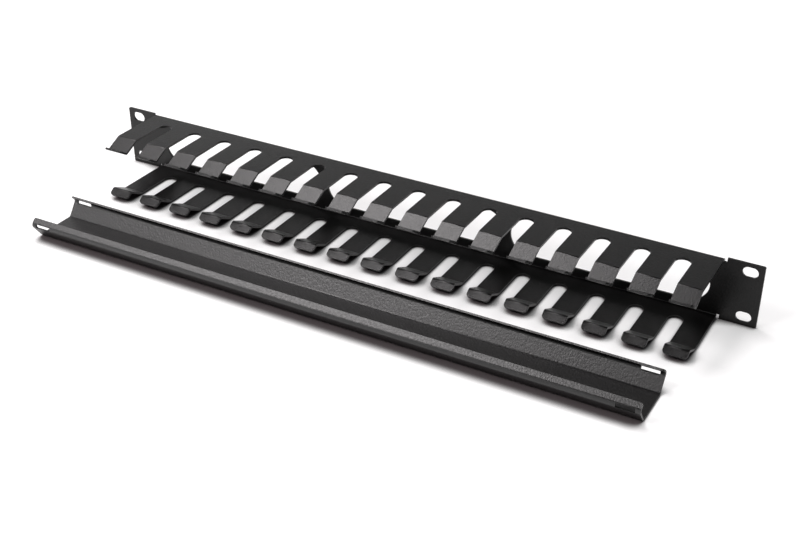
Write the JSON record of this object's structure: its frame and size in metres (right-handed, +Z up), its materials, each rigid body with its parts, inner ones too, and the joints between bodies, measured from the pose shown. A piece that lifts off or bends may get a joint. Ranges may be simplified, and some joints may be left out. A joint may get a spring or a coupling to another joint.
{
  "type": "rack cable management panel",
  "caption": "Folded steel finger panel for a 19-inch rack, with slotted ears, long cable openings in its back and a clip-on channel cover lying in front of it.",
  "frame": {"origin": "centre of the ears' four holes, on the rear face that bears on the rack rails", "axes": "+X along the rack's width, to the right seen from the front; +Y into the rack, so the fingers point to -Y; +Z up"},
  "size_m": [0.4826, 0.132, 0.0436],
  "materials": {
    "black_powder_coat": "fine-textured, low-sheen black powder coat on folded steel"
  },
  "bodies": {
    "root": {"finger_panel": "black_powder_coat", "cover": "black_powder_coat"}
  },
  "joints": []
}
